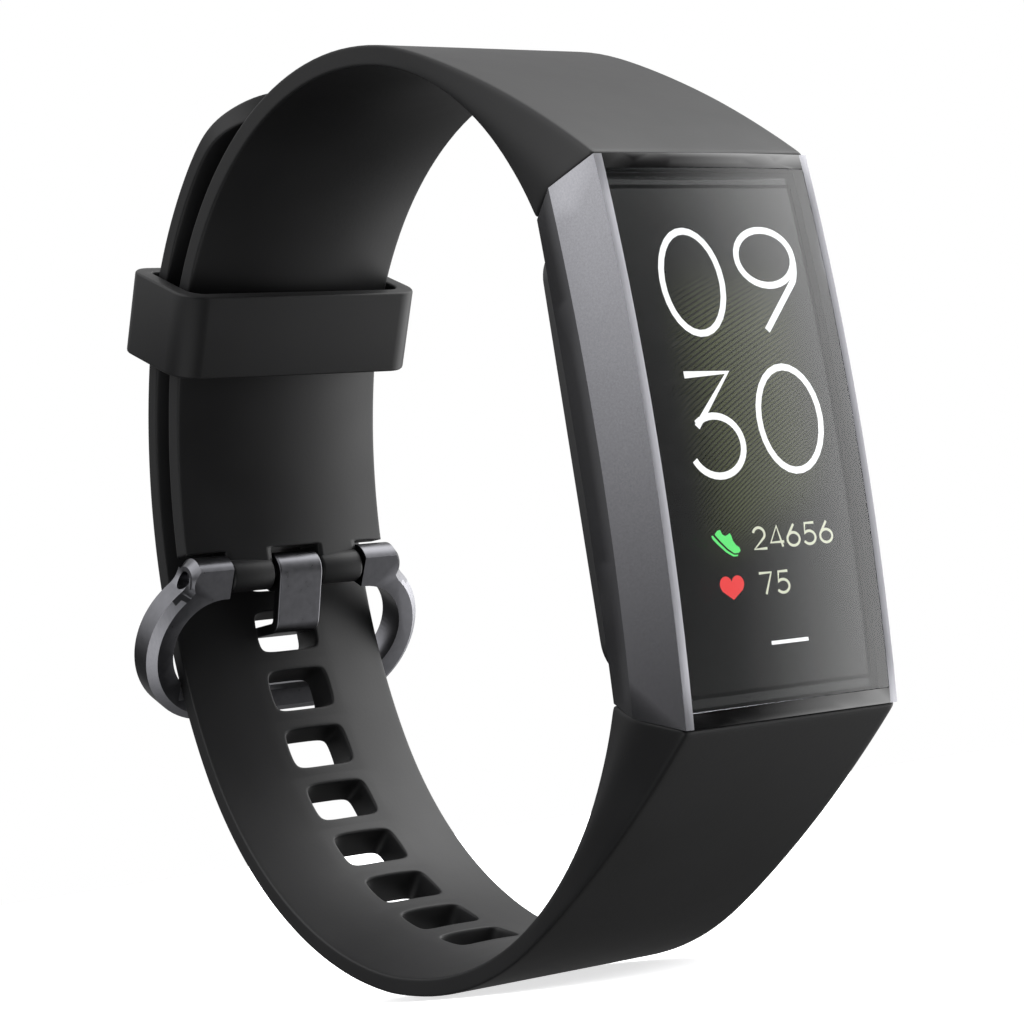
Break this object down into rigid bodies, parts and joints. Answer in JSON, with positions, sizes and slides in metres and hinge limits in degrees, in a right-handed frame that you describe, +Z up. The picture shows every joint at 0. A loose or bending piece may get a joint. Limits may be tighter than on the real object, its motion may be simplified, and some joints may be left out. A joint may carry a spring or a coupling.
{
  "type": "fitness tracker band",
  "caption": "Fitness tracker with a tall bowed display in a faceted metal case, on a two-piece silicone strap closed into a loop by a tongue buckle and a keeper.",
  "frame": {"origin": "centre of the wrist opening, halfway across the strap", "axes": "+X across the strap to the wearer's right as the display is read, the display faces -Y, +Z up the case towards 12 o'clock"},
  "size_m": [0.028, 0.0713, 0.0753],
  "materials": {
    "anodised_frame": "satin dark grey anodised, polished long edges",
    "cover_lens": "polished",
    "black_rubber": "matt",
    "display": "lit display",
    "flex_film": "amber film",
    "moulded_black": "fine moulded texture",
    "circuit_board": "solder mask",
    "chip_resin": "matt",
    "bright_steel": "bright",
    "copper_foil": "satin",
    "battery_foil": "foil pouch",
    "tape": "adhesive film",
    "sensor_lens": "polished dark resin",
    "led_resin": "clear resin",
    "gold_plate": "gold plated",
    "black_silicone": "satin black silicone",
    "gunmetal": "satin dark grey plating"
  },
  "bodies": {
    "band": {"case_frame": "anodised_frame", "cover_glass": "cover_lens", "glass_gasket": "black_rubber", "display_panel": "display", "display_flex": "flex_film", "inner_chassis": "moulded_black", "main_board": "circuit_board", "board_chips": "chip_resin", "board_screws": "bright_steel", "antenna_strip": "copper_foil", "battery": "battery_foil", "battery_tape": "tape", "vibration_motor": "bright_steel", "back_cover": "moulded_black", "back_seal": "black_rubber", "sensor_window": "sensor_lens", "sensor_board": "circuit_board", "sensor_leds": "led_resin", "photodiode": "sensor_lens", "charging_contacts": "gold_plate", "upper_connector": "moulded_black", "upper_latch_spring": "bright_steel", "lower_connector": "moulded_black", "lower_latch_spring": "bright_steel", "upper_strap": "black_silicone", "lower_strap": "black_silicone", "spring_bar_tube": "bright_steel", "spring_bar_spring": "bright_steel"},
    "keeper": {"keeper_loop": "black_silicone"},
    "buckle": {"buckle_frame": "gunmetal"},
    "tongue": {"buckle_tongue": "gunmetal"},
    "upper_button": {"upper_latch_button": "moulded_black"},
    "lower_button": {"lower_latch_button": "moulded_black"},
    "bar_tip_left": {"spring_bar_tip_left": "bright_steel"},
    "bar_tip_right": {"spring_bar_tip_right": "bright_steel"}
  },
  "joints": [
    {"name": "keeper_slide", "type": "hinge", "parent": "band", "child": "keeper", "pos_m": [0, -0.0012, 0.0075], "axis": [1, 0, 0], "range_deg": [-3, 24]},
    {"name": "buckle_swing", "type": "hinge", "parent": "band", "child": "buckle", "pos_m": [0, 0.0279, -0.0002], "axis": [1, 0, 0], "range_deg": [0, 70]},
    {"name": "tongue_swing", "type": "hinge", "parent": "band", "child": "tongue", "pos_m": [0, 0.0279, -0.0002], "axis": [-1, 0, 0], "range_deg": [0, 110]},
    {"name": "upper_button_press", "type": "slide", "parent": "band", "child": "upper_button", "axis": [0, -1, 0], "range_m": [0, 0.0008], "stiffness_N_per_m": 1500, "deforming": ["upper_latch_spring"]},
    {"name": "lower_button_press", "type": "slide", "parent": "band", "child": "lower_button", "axis": [0, -1, 0], "range_m": [0, 0.0008], "stiffness_N_per_m": 1500, "deforming": ["lower_latch_spring"]},
    {"name": "bar_tip_left_press", "type": "slide", "parent": "band", "child": "bar_tip_left", "axis": [1, 0, 0], "range_m": [0, 0.0033], "stiffness_N_per_m": 400, "deforming": ["spring_bar_spring"]},
    {"name": "bar_tip_right_press", "type": "slide", "parent": "band", "child": "bar_tip_right", "axis": [-1, 0, 0], "range_m": [0, 0.0033], "stiffness_N_per_m": 400, "deforming": ["spring_bar_spring"]}
  ]
}
